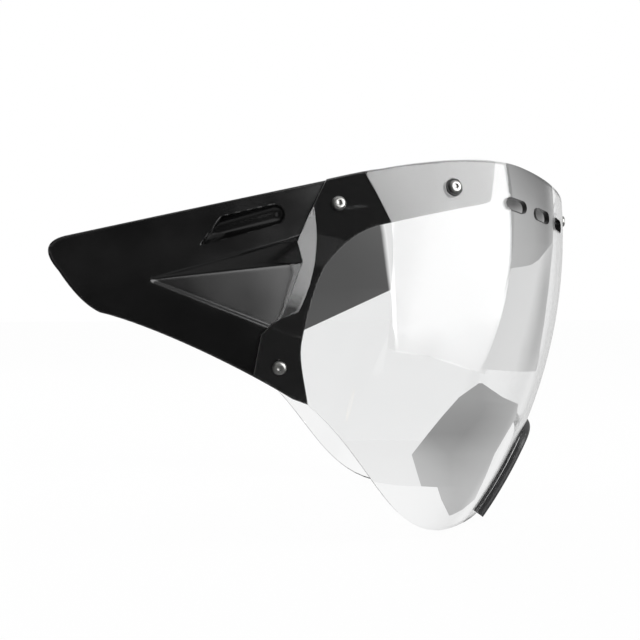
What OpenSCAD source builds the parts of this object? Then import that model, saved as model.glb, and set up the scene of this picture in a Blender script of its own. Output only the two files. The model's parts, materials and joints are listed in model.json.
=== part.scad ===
// Clear face visor for a ski helmet: one wrap-round lens, two side arms that clamp it, and the pivot hubs
// on the inner faces of the arms. Millimetres, +Z up, the wearer looks along -Y, the wearer's right is -X.
// Every outline is drawn in the lens's own frame, whose axis is vertical, and worn() leans it to how it is worn.

/* [Lens] */
// Widest distance across the outer faces of the lens
lens_w = 198; // [188:1:208]
// Thickness of the lens
lens_t = 2.5; // [2.2:0.1:2.8]
// Radius of the lens's vertical curve
bulge_r = 250; // [230:5:300]
// Lean of the lens's axis, top forwards, in degrees
rake = 11; // [8:0.5:14]
// Height of the brow peaks above the lens's widest level
brow_top = 63.7; // [62:0.2:66]
// How far the top edge is lower at the middle than at the brow peaks
brow_dip = 5.5; // [4:0.5:7]
// Depth of the two cheek lobes below the lens's widest level
chin_drop = 104.5; // [100:0.5:110]

/* [Nose arch] */
// Half width of the arch
arch_w = 37; // [34:0.5:40]
// Height of the arch's round top
arch_h = 11.5; // [9:0.5:14]
// Level below the lens's widest level where the round top begins
arch_level = 62; // [58:0.5:66]
// How far the rounded bead of the trim stands out of the outer face
trim_bead = 3.6; // [2.8:0.1:4.2]
// Width of the trim along the edge of the arch
trim_w = 4.2; // [3.4:0.1:5]

/* [Vents] */
// Length of one vent slot
slot_l = 13.8; // [12:0.2:16]
// Height of one vent slot
slot_h = 5.7; // [5:0.1:6.5]
// Angle from one vent slot to the next
slot_pitch = 12.7; // [12:0.1:14]
// Vent slots on each side
slot_n = 3; // [2:1:3]
// Level of the vent slots above the lens's widest level
slot_level = 46; // [44:0.5:48]

/* [Arms] */
// Wall of the arms
arm_t = 2.6; // [2.2:0.1:3]
// Gap between the lens and the arm behind it
arm_gap = 0.3; // [0.3:0.05:0.5]
// Distance from the lens joint to the rear end of an arm
arm_reach = 96.5; // [92:0.5:102]
// Depth of the triangular air duct at its front end
duct_depth = 8; // [6:0.5:9]
// Half width of the moulded scoop
scoop_r = 4.6; // [4:0.1:5.4]
// Length of the moulded scoop
scoop_l = 30; // [26:1:32]

/* [Fasteners] */
// Radius of a screw shank
screw_r = 1.5; // [1.4:0.05:1.6]
// Radius of a button head
head_r = 2.85; // [2.6:0.05:3.1]
// Height of a button head
head_h = 1.65; // [1.4:0.05:1.9]
// Distance across the flats of the head's hexagon socket
socket_af = 2; // [1.8:0.1:2.2]
// Radius of a round nut
nut_r = 3.8; // [3.5:0.1:4.2]
// Thickness of a round nut
nut_t = 2.4; // [2:0.1:2.8]
// Radius of a nylon washer
washer_r = 3.7; // [3.5:0.1:4]
// Thickness of a nylon washer
washer_t = 0.8; // [0.6:0.1:1]

/* [Hubs] */
// Distance of the pivots behind the centre of the lens curve
pivot_y = 118; // [112:1:122]
// Level of the pivots below the lens's widest level
pivot_z = 16; // [14:0.5:18]
// Radius of a hub
hub_r = 15.5; // [14.5:0.5:16.5]
// Thickness of a hub
hub_t = 8; // [7.5:0.5:9]
// Radius of the round boss that a hub turns on
boss_r = 6.5; // [6:0.25:7]
// Running clearance between the boss and the hub's bore
boss_fit = 0.05; // [0.03:0.01:0.08]
// Diameter of the circle of helmet screw holes in a hub
hub_pcd = 25.4; // [25:0.1:26]
// Radius of a helmet screw hole
hub_hole_r = 1.6; // [1.4:0.1:1.7]
// Helmet screw holes in a hub
hub_hole_n = 3; // [3:1:4]

/* [Hidden] */
$fn = 96;
small = 48;
over = 3;
clear_r = 0.2;
seat = 0.35;

black = [0.03, 0.03, 0.035];
rubber = [0.06, 0.06, 0.06];
steel = [0.75, 0.75, 0.77];
brass = [0.78, 0.62, 0.3];
clear = [0.85, 0.9, 0.92, 0.4];

half_w = lens_w / 2;
reach_x = lens_w + 40;
front_y = -half_w - 10;

// Lens outline seen from the side: top edge, stepped rear edge on the arm, lower edge with the cheek lobe
peak_y = -0.42 * half_w;
joint = [44, brow_top - 26.7];
rear_corner = [58, -47.7];
tip = [33.4, -56];
lobe = [-0.42 * half_w, -chin_drop];
nose_end = [-0.76 * half_w, 8 - chin_drop];
fall = 1.52;
edge_n = 24;
curve_n = 10;

function top_z(y) = y < peak_y
    ? brow_top - brow_dip * pow((peak_y - y) / (half_w + peak_y), 2)
    : brow_top - (brow_top - joint[1]) * pow((y - peak_y) / (joint[0] - peak_y), fall);
function bez(a, b, c, d, n = curve_n) = [for (i = [0:n - 1]) let (t = i / n, s = 1 - t)
    s * s * s * a + 3 * s * s * t * b + 3 * s * t * t * c + t * t * t * d];
function top_edge(from, to, drop, n = edge_n) =
    [for (i = [0:n]) let (y = from + (to - from) * i / n) [y, top_z(y) - drop]];
function between(a, b, u, v) = [a[0] + (b[0] - a[0]) * u, a[1] + (b[1] - a[1]) * v];

lens_side = concat(
    [[front_y, top_z(-half_w)]],
    top_edge(-half_w, joint[0], 0),
    [[48.3, 21.8], [51.1, 9.3], [47.5, 1.5], [48.9, -6.8], [50.9, -19.9], [52.3, -23.5], [55.2, -25.8],
     rear_corner + [0.3, 16.7], rear_corner, rear_corner + [-11.6, -4.6]],
    bez(tip, between(tip, lobe, 0.42, 0.36), between(tip, lobe, 0.62, 1), lobe),
    bez(lobe, lobe + [-10, 0], nose_end + [13, -3], nose_end),
    [nose_end, [front_y, nose_end[1] + 3]]);

// Arm outline seen from the side: brow band, straight top edge, rear end, lower edge, front of the plate
edge_in = 0.1;
band_end = -0.3 * half_w;
band_w = 18.6;
arm_drop = 0.449;
arm_end = [joint[0] + arm_reach, joint[1] - edge_in - arm_drop * arm_reach];
arm_low = arm_end + [1.4, -14.6];
heel = arm_end + [-17.2, -27.8];
knee = [41.2, -29.5];
arm_tip = [34.2, -57.2];
band_root = [16.2, 24];
arm_side = concat(
    top_edge(band_end, joint[0], edge_in),
    bez(arm_end, arm_end + [8.5, -3.5], arm_end + [9, -8.5], arm_low),
    bez(arm_low, arm_low + [-4.4, -4.6], heel + [7.5, 2], heel),
    bez(heel, heel + [-19.3, -0.8], arm_tip + [28.2, 11.6], arm_tip),
    bez(arm_tip + [-1.3, 1], arm_tip + [2.3, 10.7], knee + [0.3, -8], knee),
    bez(knee, knee + [-1, 23.5], band_root + [21.3, -8.5], band_root),
    bez(band_root, [3, 29.9], [-13, 36.8], [band_end + 3.5, top_z(band_end) - band_w - 1.5]),
    bez([band_end + 3.5, top_z(band_end) - band_w - 1.5], [band_end + 1.6, top_z(band_end) - band_w - 0.6],
        [band_end, top_z(band_end) - band_w + 0.4], [band_end - 0.3, top_z(band_end) - band_w + 2.6], 4));

// Placing of the part: origin below the middle of its box, on the level of the lobes' lowest points
low_z = min([for (p = lens_side) if (p[0] > front_y) p[0] * sin(rake) + p[1] * cos(rake)]);
rear_y = max([for (p = arm_side) p[0] * cos(rake) - p[1] * sin(rake)]);
nose_y = (bulge_r - half_w) * cos(rake) - bulge_r;
mid_y = (rear_y + nose_y) / 2;

// Screw places: angle from the front, distance behind the curve centre, level
plate_places = [[90, 37.4, 28.2], [90, 48.4, -43]];
brow_place = [83.6, 0, 45.7];
centre_place = [16, 0, 53.8];
slot_first = 62.8;

inner_face = lens_t + arm_gap + arm_t;
pad_face = half_w - inner_face - 2;
boss_l = 5;
ring_t = 1;
ring_play = 0.1;
hub_out = pad_face - ring_t - ring_play;
hub_in = hub_out - hub_t;
boss_end = pad_face - boss_l;
end_play = 0.2;
disc_r = 9.2;
disc_t = 1;
insert_r = 2.2;
insert_l = 5;
insert_fit = 0.05;
bumper_r = 4.6;
bumper_l = 6;

module worn() { translate([0, -mid_y, -low_z]) rotate([rake, 0, 0]) children(); }
module left() { mirror([1, 0, 0]) children(); }

// Wall that follows the lens: depth below the lens's outer face, then thickness
module ring_half(depth, t) {
    intersection() {
        translate([half_w - bulge_r, 0]) difference() {
            circle(r = bulge_r - depth, $fn = 180);
            circle(r = bulge_r - depth - t, $fn = 180);
        }
        translate([half_w / 3, -half_w - 25]) square([half_w, lens_w + 20]);
    }
}
module shell(depth, t) {
    rotate([0, 0, 180]) rotate_extrude(angle = 180, $fn = 180) ring_half(depth, t);
    for (side = [0, 1]) mirror([side, 0, 0])
        translate([0, arm_reach * 2, 0]) rotate([90, 0, 0]) linear_extrude(arm_reach * 2) ring_half(depth, t);
}
module side_prism(points) {
    rotate([90, 0, 90]) linear_extrude(reach_x, center = true) polygon(points);
}
module right_half() { translate([-reach_x, -reach_x, -reach_x]) cube([reach_x, 2 * reach_x, 2 * reach_x]); }

// Nose arch seen from the front, grown outwards by grow
module arch_prism(grow) {
    rotate([90, 0, 0]) linear_extrude(half_w + 20) polygon(concat(
        [[-arch_w - grow + 1, -chin_drop - 20]],
        [for (a = [180:-6:0]) [(arch_w + grow) * cos(a), (arch_h + grow) * sin(a) - arch_level]],
        [[arch_w + grow - 1, -chin_drop - 20]]));
}

// Moves to a place on the lens's outer face, local +Z outwards, local Y level along the face
function ring_r(z) = half_w - bulge_r + sqrt(bulge_r * bulge_r - z * z);
module at_place(p) {
    translate([-ring_r(p[2]) * sin(p[0]), p[1] - ring_r(p[2]) * cos(p[0]), p[2]])
        rotate([0, 90 - asin(p[2] / bulge_r), 270 - p[0]]) children();
}
// Moves to the right pivot, local +Z outwards, local origin in the middle plane
module at_pivot() { translate([0, pivot_y, -pivot_z]) rotate([0, -90, 0]) children(); }

module screw(shank) {
    difference() {
        union() {
            intersection() {
                cylinder(h = head_h, r = head_r, $fn = small);
                translate([0, 0, -head_r]) sphere(r = head_r + head_h, $fn = small);
            }
            translate([0, 0, -shank]) cylinder(h = shank + head_h / 3, r = screw_r, $fn = small);
        }
        translate([0, 0, head_h / 3]) cylinder(h = head_h, r = socket_af / sqrt(3), $fn = 6);
    }
}
module tube(h, out_r, in_r) {
    difference() {
        cylinder(h = h, r = out_r, $fn = small);
        translate([0, 0, -over]) cylinder(h = h + 2 * over, r = in_r, $fn = small);
    }
}
module screw_hole(p, seat_r) {
    at_place(p) {
        translate([0, 0, -inner_face - over]) cylinder(h = inner_face + 2 * over, r = screw_r + clear_r, $fn = small);
        translate([0, 0, -seat]) cylinder(h = seat + over, r = seat_r + clear_r, $fn = small);
    }
}
module nut_hole(p) {
    at_place(p) {
        translate([0, 0, -inner_face - over]) cylinder(h = inner_face + over, r = screw_r + clear_r, $fn = small);
        translate([0, 0, -inner_face - over]) cylinder(h = over + seat, r = nut_r + clear_r, $fn = small);
    }
}
module nut(p) {
    at_place(p) translate([0, 0, seat - inner_face - nut_t]) tube(nut_t, nut_r, screw_r + insert_fit);
}

// Lens: vent slots, screw holes, nose arch, and a bevelled facet on the rear edge beside the duct
module vent_slot() {
    translate([0, 0, -lens_t - over]) linear_extrude(lens_t + 2 * over) {
        for (s = [-1, 1]) translate([0, s * (slot_l - slot_h) / 2]) circle(d = slot_h, $fn = small);
        square([slot_h, slot_l - slot_h], center = true);
    }
}
bevel = 14.8;
bevel_y = 42.8;
module bevel_cut() {
    translate([-half_w, bevel_y, 0]) rotate([0, 0, -bevel]) translate([-20, 0, 0]) rotate([90, 0, 90])
        linear_extrude(20) polygon([[-2, -16], [20, -30], [20, 32], [-2, 32]]);
}
module right_lens_cuts() {
    for (i = [0:slot_n - 1]) at_place([slot_first - i * slot_pitch, 0, slot_level]) vent_slot();
    for (p = plate_places) screw_hole(p, head_r);
    screw_hole(brow_place, washer_r);
    screw_hole(centre_place, washer_r);
    bevel_cut();
}
module lens() {
    color(clear) worn() difference() {
        intersection() {
            shell(0, lens_t);
            side_prism(lens_side);
        }
        arch_prism(0);
        right_lens_cuts();
        left() right_lens_cuts();
    }
}

// Rubber trim: a rounded bead bonded to the outer face of the lens along the edge of the nose arch. Each step of
// the bead gives its share of the height and how far it is narrower on both sides.
trim_bond = 0.1;
bead_steps = [[0.65, 0], [0.9, 0.6], [1, 1.2]];
module nose_trim() {
    color(rubber) worn() intersection() {
        for (step = bead_steps) difference() {
            intersection() {
                shell(-trim_bead * step[0], trim_bead * step[0] - trim_bond);
                arch_prism(trim_w - step[1]);
            }
            arch_prism(step[1]);
        }
        side_prism(lens_side);
    }
}

// Right arm: plate and brow band under the lens, exposed rear part with the scoop and a pocket. The duct leads
// air from behind the lens, under its rear edge, to the front edge of the plate.
duct_apex = [108, -17.8];
duct_top = [49, 12.2];
duct_low = [56.5, -27.2];
duct_fold = [46, 1.8];
duct_mouth = 30;
duct_wall = 1.8;
duct_lift = 0.6;
scoop_mid = [87, 7.3];
scoop_rise = 24;
scoop_lift = 8;
pocket = [10, 7.2, 0.9];
pocket_place = [31.2, 31.6];
outer_x = half_w - lens_t - arm_gap;

module duct_body(grow, front) {
    a = duct_apex + [grow, 0];
    b = duct_top + [0, grow];
    c = duct_low + [0, -grow];
    d = duct_fold;
    x = outer_x + (grow > 0 ? -arm_t / 2 : duct_lift);
    polyhedron(
        points = [[-x, a[0], a[1]], [-x, b[0], b[1]], [-x, c[0], c[1]],
            [-outer_x + duct_depth + grow, d[0], d[1]],
            [-x, front, b[1] + 0.5], [-x, front, c[1] - 4],
            [-outer_x + duct_depth + grow, front, d[1]]],
        faces = [[0, 1, 2], [0, 3, 1], [0, 2, 3], [1, 6, 4], [1, 3, 6], [2, 5, 6], [2, 6, 3], [4, 6, 5],
            [1, 5, 2], [1, 4, 5]]);
}
module scoop_bar(r, l, back) {
    translate([-outer_x, scoop_mid[0] + back, scoop_mid[1]]) rotate([-scoop_rise, 0, 0])
        rotate([90, 0, 0]) rotate([0, -scoop_lift, 0]) cylinder(h = l + back, r = r, $fn = small);
}
module right_arm_body() {
    difference() {
        union() {
            intersection() {
                shell(lens_t + arm_gap, arm_t);
                side_prism(arm_side);
                right_half();
            }
            intersection() {
                duct_body(duct_wall, duct_mouth);
                shell(lens_t + arm_gap + arm_t / 2, 2 * duct_depth);
                side_prism(arm_side);
            }
            intersection() {
                scoop_bar(scoop_r + duct_wall, scoop_l - 4, duct_wall);
                shell(lens_t + arm_gap + arm_t / 2, scoop_r + duct_wall);
            }
            at_pivot() {
                translate([0, 0, pad_face]) cylinder(h = half_w - inner_face + arm_t / 2 - pad_face, r = hub_r);
                translate([0, 0, boss_end]) cylinder(h = boss_l + 1, r = boss_r);
            }
        }
        duct_body(0, duct_mouth);
        scoop_bar(scoop_r, scoop_l, 0);
        at_place([90, pocket_place[0], pocket_place[1]]) rotate([0, 0, 21])
            translate([-pocket[1] / 2, -pocket[0] / 2, -lens_t - arm_gap - pocket[2]])
            cube([pocket[1], pocket[0], pocket[2] + over]);
        for (p = plate_places) nut_hole(p);
        nut_hole(brow_place);
        at_pivot() translate([0, 0, boss_end - over])
            cylinder(h = insert_l + over, r = insert_r + insert_fit, $fn = small);
    }
}
module right_arm() { color(black) worn() right_arm_body(); }
module left_arm() { color(black) worn() left() right_arm_body(); }

// Screws and nuts that clamp the lens to the arms
module plate_screws() {
    for (p = plate_places) at_place(p) translate([0, 0, -seat]) screw(inner_face + nut_t - 2 * seat);
}
module brow_screw(p) {
    at_place(p) translate([0, 0, washer_t - seat]) screw(inner_face + nut_t + washer_t - 2 * seat);
}
module right_plate_screws() { color(steel) worn() plate_screws(); }
module left_plate_screws() { color(steel) worn() left() plate_screws(); }
module right_brow_screw() { color(steel) worn() brow_screw(brow_place); }
module left_brow_screw() { color(steel) worn() left() brow_screw(brow_place); }
module right_plate_nuts() { color(brass) worn() for (p = plate_places) nut(p); }
module left_plate_nuts() { color(brass) worn() left() for (p = plate_places) nut(p); }
module right_brow_nut() { color(brass) worn() nut(brow_place); }
module left_brow_nut() { color(brass) worn() left() nut(brow_place); }

// Centre screws with their rubber bumpers, which rest on the rim of the helmet
bumper_top = lens_t + arm_gap;
module centre_screws() {
    color(steel) worn() for (s = [0, 1]) mirror([s, 0, 0]) at_place(centre_place)
        translate([0, 0, washer_t - seat]) screw(bumper_top + bumper_l + washer_t - seat - 1);
}
module centre_nuts() {
    color(brass) worn() for (s = [0, 1]) mirror([s, 0, 0]) at_place(centre_place)
        translate([0, 0, -bumper_top - bumper_l + 0.5]) tube(nut_t, nut_r, screw_r + insert_fit);
}
module centre_bumpers() {
    color(rubber) worn() for (s = [0, 1]) mirror([s, 0, 0]) at_place(centre_place)
        translate([0, 0, -bumper_top - bumper_l]) difference() {
            tube(bumper_l, bumper_r, screw_r + clear_r);
            translate([0, 0, -over]) cylinder(h = nut_t + 0.5 + over + insert_fit, r = nut_r + insert_fit, $fn = small);
        }
}
module brow_washers() {
    color(black) worn() for (s = [0, 1]) mirror([s, 0, 0]) for (p = [brow_place, centre_place])
        at_place(p) translate([0, 0, -seat]) tube(washer_t, washer_r, screw_r + clear_r);
}

// Pivot hubs: a hub turns on the boss of the arm, and its inner face is screwed to the helmet
module hub_body() {
    at_pivot() translate([0, 0, hub_in]) difference() {
        cylinder(h = hub_t, r = hub_r);
        translate([0, 0, -over]) cylinder(h = hub_t + 2 * over, r = boss_r + boss_fit);
        translate([0, 0, -over]) cylinder(h = boss_end + end_play - hub_in + over, r = disc_r + 2 * clear_r);
        for (i = [0:hub_hole_n - 1]) rotate([0, 0, i * 360 / hub_hole_n]) translate([hub_pcd / 2, 0, -over])
            cylinder(h = hub_t - 2 + over, r = hub_hole_r, $fn = small);
    }
}
module friction_ring() {
    at_pivot() translate([0, 0, pad_face - ring_t]) tube(ring_t, boss_r + 4, boss_r + clear_r);
}
module pivot_insert() {
    at_pivot() translate([0, 0, boss_end]) tube(insert_l - insert_fit, insert_r, screw_r + insert_fit);
}
module pivot_washer() {
    at_pivot() translate([0, 0, boss_end - disc_t]) tube(disc_t, disc_r, screw_r + clear_r);
}
module pivot_screw() {
    at_pivot() translate([0, 0, boss_end - disc_t]) mirror([0, 0, 1]) screw(insert_l);
}
module right_hub() { color(black) worn() hub_body(); }
module left_hub() { color(black) worn() left() hub_body(); }
module right_friction_ring() { color(rubber) worn() friction_ring(); }
module left_friction_ring() { color(rubber) worn() left() friction_ring(); }
module right_pivot_insert() { color(brass) worn() pivot_insert(); }
module left_pivot_insert() { color(brass) worn() left() pivot_insert(); }
module right_pivot_washer() { color(steel) worn() pivot_washer(); }
module left_pivot_washer() { color(steel) worn() left() pivot_washer(); }
module right_pivot_screw() { color(steel) worn() pivot_screw(); }
module left_pivot_screw() { color(steel) worn() left() pivot_screw(); }

lens();
nose_trim();
right_arm();
left_arm();
right_plate_screws();
left_plate_screws();
right_brow_screw();
left_brow_screw();
centre_screws();
right_plate_nuts();
left_plate_nuts();
right_brow_nut();
left_brow_nut();
centre_nuts();
brow_washers();
centre_bumpers();
right_hub();
left_hub();
right_friction_ring();
left_friction_ring();
right_pivot_insert();
left_pivot_insert();
right_pivot_washer();
left_pivot_washer();
right_pivot_screw();
left_pivot_screw();
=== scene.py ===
# %% [markdown]
# # A clear face visor for a ski helmet
# The visor is one wrap-round clear lens that is clamped to two moulded side arms. Hubs on the inner faces of
# the arms let it swing up on a helmet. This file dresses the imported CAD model: the pieces that the eye reads
# first, the lens, the arms, the rubber nose trim and the screws, are modelled again with finer shapes, and
# the small hidden pieces keep their CAD form with softened edges and a finish of their own.

# %% The frame
import json
import math

import bmesh
import bpy
import numpy as np
from mathutils import Matrix, Vector


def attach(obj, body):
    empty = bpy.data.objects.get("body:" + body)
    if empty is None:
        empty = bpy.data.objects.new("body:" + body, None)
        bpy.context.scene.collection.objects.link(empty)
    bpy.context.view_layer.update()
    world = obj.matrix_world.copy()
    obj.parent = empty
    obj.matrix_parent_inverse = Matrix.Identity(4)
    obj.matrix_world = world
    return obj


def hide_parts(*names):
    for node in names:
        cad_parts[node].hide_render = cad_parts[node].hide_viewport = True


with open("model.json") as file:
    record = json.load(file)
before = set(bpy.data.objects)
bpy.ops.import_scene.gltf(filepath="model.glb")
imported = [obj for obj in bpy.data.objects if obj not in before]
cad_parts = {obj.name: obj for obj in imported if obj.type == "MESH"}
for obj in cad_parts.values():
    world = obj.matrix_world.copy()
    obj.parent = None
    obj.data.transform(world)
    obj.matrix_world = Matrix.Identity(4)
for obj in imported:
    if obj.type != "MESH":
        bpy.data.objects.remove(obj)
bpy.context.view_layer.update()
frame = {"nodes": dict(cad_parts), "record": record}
BODY_OF = {node: body for body, nodes in frame["record"]["behaviour"]["bodies"].items() for node in nodes}

# %% [markdown]
# ## Camera
# The picture was taken from the wearer's right, almost level and a little from behind. A long lens would
# flatten the far side; the photograph's perspective fits a 52 mm lens from under half a metre away.

# %% The camera
MM = 0.001
FRAME_PX = 640
SENSOR = 36
FOCAL = 51.82
camera_azimuth = math.radians(9.953)
camera_elevation = math.radians(0.864)
camera_distance = 476.86 * MM
camera_target = Vector((0, -0.539, 96.407)) * MM
camera_way = Vector((
    -math.cos(camera_azimuth) * math.cos(camera_elevation),
    math.sin(camera_azimuth) * math.cos(camera_elevation),
    math.sin(camera_elevation)))
camera_spot = camera_target + camera_way * camera_distance
camera_turn = (-camera_way).to_track_quat("-Z", "Y")

bpy.ops.object.camera_add(location=camera_spot, rotation=camera_turn.to_euler())
camera = bpy.context.object
camera.data.lens = FOCAL
camera.data.sensor_width = SENSOR
camera.data.clip_start = 0.01
bpy.context.scene.camera = camera
bpy.context.scene.view_settings.view_transform = "Standard"
print("camera at", tuple(round(c, 4) for c in camera_spot))

# %% [markdown]
# ## Working frame
# Every outline of this visor is easiest to draw in the lens's own frame: millimetres, lens axis upright,
# the wearer looking along -Y. `WORN` then leans the finished piece by the rake of the lens and sets it on
# the row's origin in metres, so each object ends at the origin with its place in its mesh.

# %% Sizes of the lens and the way back to the row frame
HALF_W, LENS_T, BULGE = 99.0, 2.5, 250.0
BROW_TOP, BROW_DIP, CHIN = 63.7, 5.5, 104.5
GAP, ARM_T, DUCT_DEPTH = 0.3, 2.6, 8.0
RAKE = math.radians(11)
LENS_SPOT = Vector((0, -22.6910, 111.1424)) * MM
WORN = Matrix.Translation(LENS_SPOT) @ Matrix.Rotation(RAKE, 4, "X") @ Matrix.Scale(MM, 4)


def only(obj):
    """Selects this object alone and makes it the active one."""
    bpy.ops.object.select_all(action="DESELECT")
    obj.select_set(True)
    bpy.context.view_layer.objects.active = obj


def apply_modifier(obj, kind, **values):
    """Adds a modifier with these values and applies it."""
    only(obj)
    step = obj.modifiers.new(kind.lower(), kind)
    for key, value in values.items():
        setattr(step, key, value)
    bpy.ops.object.modifier_apply(modifier=step.name)


def settle():
    """Puts the active object's place into its mesh."""
    bpy.ops.object.transform_apply(location=True, rotation=True, scale=True)


def set_down(obj, place=WORN):
    """Moves an object by place, and settles it there."""
    obj.matrix_world = place @ obj.matrix_world
    only(obj)
    settle()


def opened(obj, kind):
    """Opens the active object's mesh with nothing selected, and gives it."""
    bpy.ops.object.mode_set(mode="EDIT")
    bpy.ops.mesh.select_mode(type=kind)
    bpy.ops.mesh.select_all(action="DESELECT")
    return bmesh.from_edit_mesh(obj.data)


def close_outward():
    """Turns all faces of the open mesh outward and closes it."""
    bpy.ops.mesh.select_all(action="SELECT")
    bpy.ops.mesh.normals_make_consistent(inside=False)
    bpy.ops.object.mode_set(mode="OBJECT")


def point_out(obj):
    """Merges doubled points and turns all faces outward."""
    only(obj)
    bpy.ops.object.mode_set(mode="EDIT")
    bpy.ops.mesh.select_all(action="SELECT")
    bpy.ops.mesh.remove_doubles(threshold=1e-5)
    close_outward()


def shade(obj, angle=35):
    """Smooth shading that leaves edges sharper than the angle hard."""
    only(obj)
    bpy.ops.object.shade_smooth_by_angle(angle=math.radians(angle))


def own_copy(obj):
    """A copy with its own mesh."""
    copy = obj.copy()
    copy.data = obj.data.copy()
    bpy.context.collection.objects.link(copy)
    return copy


def cylinder(radius, depth, middle=(0, 0, 0), vertices=48, rotation=(0, 0, 0)):
    """A cylinder about its middle, as the start of every turned piece and drill."""
    bpy.ops.object.select_all(action="DESELECT")
    bpy.ops.mesh.primitive_cylinder_add(vertices=vertices, radius=radius, depth=depth, location=middle,
                                        rotation=rotation)
    return bpy.context.object


def outline_solid(name, points, sweep, material=None):
    """A closed outline of 3-D points, filled, and extruded by the vector sweep."""
    bpy.ops.object.select_all(action="DESELECT")
    bpy.ops.mesh.primitive_circle_add(vertices=len(points), radius=1, fill_type="NGON")
    solid = bpy.context.object
    solid.name = name
    for vert, point in zip(solid.data.vertices, points):
        vert.co = point
    bpy.ops.object.mode_set(mode="EDIT")
    bpy.ops.mesh.select_all(action="SELECT")
    bpy.ops.mesh.extrude_region_move(TRANSFORM_OT_translate={"value": sweep})
    close_outward()
    if material:
        solid.data.materials.append(material)
    return solid


def carve(target, cutter, operation="DIFFERENCE"):
    """Works the cutter into the target and uses it up."""
    apply_modifier(target, "BOOLEAN", operation=operation, object=cutter, solver="EXACT",
                   material_mode="TRANSFER")
    bpy.data.objects.remove(cutter)


def joined(objects):
    """The objects as one."""
    only(objects[0])
    for obj in objects[1:]:
        obj.select_set(True)
    bpy.ops.object.join()
    return bpy.context.object


def mirrored(obj, name):
    """The same piece for the other side."""
    twin = own_copy(obj)
    twin.name = name
    twin.data.transform(Matrix.Scale(-1, 4, (1, 0, 0)))
    point_out(twin)
    return twin


# %% [markdown]
# ## Finishes
# Moulded plastic and rubber are never quite even: their gloss wanders a little and a fine grain stands on
# them. One node group makes both from noise on Object coordinates, and each material gives it its own
# scale and limits. The group puts out a roughness and a normal only, and each Principled shader stays in
# its own material.

# %% The shared finish group
finish = bpy.data.node_groups.new("moulded_finish", "ShaderNodeTree")
LIMITS = (("Grain Scale", 900.0), ("Roughness Low", 0.1), ("Roughness High", 0.3), ("Height", 0.1))
for label, value in LIMITS:
    finish.interface.new_socket(label, in_out="INPUT", socket_type="NodeSocketFloat").default_value = value
finish.interface.new_socket("Roughness", in_out="OUTPUT", socket_type="NodeSocketFloat")
finish.interface.new_socket("Cloud", in_out="OUTPUT", socket_type="NodeSocketFloat")
finish.interface.new_socket("Normal", in_out="OUTPUT", socket_type="NodeSocketVector")


def new_node(tree, kind, **values):
    """A new shader node of a kind, with values for its inputs."""
    made = tree.nodes.new(f"ShaderNode{kind}")
    for socket, value in values.items():
        made.inputs[socket.replace("_", " ")].default_value = value
    return made


def wire(tree, *pairs):
    """Links each pair of sockets, from the first to the second."""
    for source, target in pairs:
        tree.links.new(source, target)


enter = finish.nodes.new("NodeGroupInput")
leave = finish.nodes.new("NodeGroupOutput")
where = new_node(finish, "TexCoord")
cloud = new_node(finish, "TexNoise", Scale=45, Detail=4)
spread = new_node(finish, "MapRange", From_Min=0.35, From_Max=0.65)
grain = new_node(finish, "TexNoise", Detail=3)
bump = new_node(finish, "Bump", Distance=0.00005)
wire(finish,
     (where.outputs["Object"], cloud.inputs["Vector"]),
     (where.outputs["Object"], grain.inputs["Vector"]),
     (enter.outputs["Grain Scale"], grain.inputs["Scale"]),
     (cloud.outputs["Fac"], spread.inputs["Value"]),
     (enter.outputs["Roughness Low"], spread.inputs["To Min"]),
     (enter.outputs["Roughness High"], spread.inputs["To Max"]),
     (spread.outputs["Result"], leave.inputs["Roughness"]),
     (cloud.outputs["Fac"], leave.inputs["Cloud"]),
     (grain.outputs["Fac"], bump.inputs["Height"]),
     (enter.outputs["Height"], bump.inputs["Strength"]),
     (bump.outputs["Normal"], leave.inputs["Normal"]))


def moulded(name, dark, light, rough, grain_scale, height, **constants):
    """A material whose colour drifts between dark and light and whose gloss drifts within rough."""
    material = bpy.data.materials.new(name)
    material.use_nodes = True
    tree = material.node_tree
    shader = tree.nodes["Principled BSDF"]
    for socket, value in constants.items():
        shader.inputs[socket.replace("_", " ")].default_value = value
    group = new_node(tree, "Group")
    group.node_tree = finish
    for label, value in (("Grain Scale", grain_scale), ("Roughness Low", rough[0]),
                         ("Roughness High", rough[1]), ("Height", height)):
        group.inputs[label].default_value = value
    tint = new_node(tree, "Mix")
    tint.data_type = "RGBA"
    tint.inputs[6].default_value = (*dark, 1)
    tint.inputs[7].default_value = (*light, 1)
    wire(tree,
         (group.outputs["Cloud"], tint.inputs[0]),
         (tint.outputs[2], shader.inputs["Base Color"]),
         (group.outputs["Roughness"], shader.inputs["Roughness"]),
         (group.outputs["Normal"], shader.inputs["Normal"]))
    return material


black_plastic = moulded("black_plastic_finish", (0.0035, 0.0035, 0.0036), (0.0055, 0.0055, 0.0056),
                        (0.16, 0.24), 1400, 0.1)
black_rubber = moulded("black_rubber_finish", (0.016, 0.016, 0.017), (0.026, 0.026, 0.028),
                       (0.42, 0.55), 2600, 0.35)
black_nylon = moulded("black_nylon_finish", (0.012, 0.012, 0.012), (0.02, 0.02, 0.02), (0.45, 0.6), 2200, 0.2)
hub_plastic = moulded("hub_plastic_finish", (0.014, 0.014, 0.015), (0.024, 0.024, 0.025),
                      (0.5, 0.62), 3200, 0.5)
steel = moulded("steel_finish", (0.27, 0.27, 0.26), (0.35, 0.35, 0.34),
                (0.26, 0.38), 1800, 0.12, Metallic=1.0)
brass = moulded("brass_finish", (0.62, 0.44, 0.18), (0.72, 0.54, 0.26),
                (0.22, 0.38), 1800, 0.12, Metallic=1.0)
# The cut edge's grey is the frosted edge's own colour, darkened as painted shade; the vent walls' near black
# is painted shade.
cut_edge = moulded("cut_edge", (0.12, 0.12, 0.12), (0.18, 0.18, 0.18), (0.3, 0.45), 1500, 0.2)
vent_wall_painted_shade = moulded("vent_wall_painted_shade", (0.004, 0.004, 0.004), (0.008, 0.008, 0.008), (0.25, 0.4), 1500, 0.2)

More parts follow.
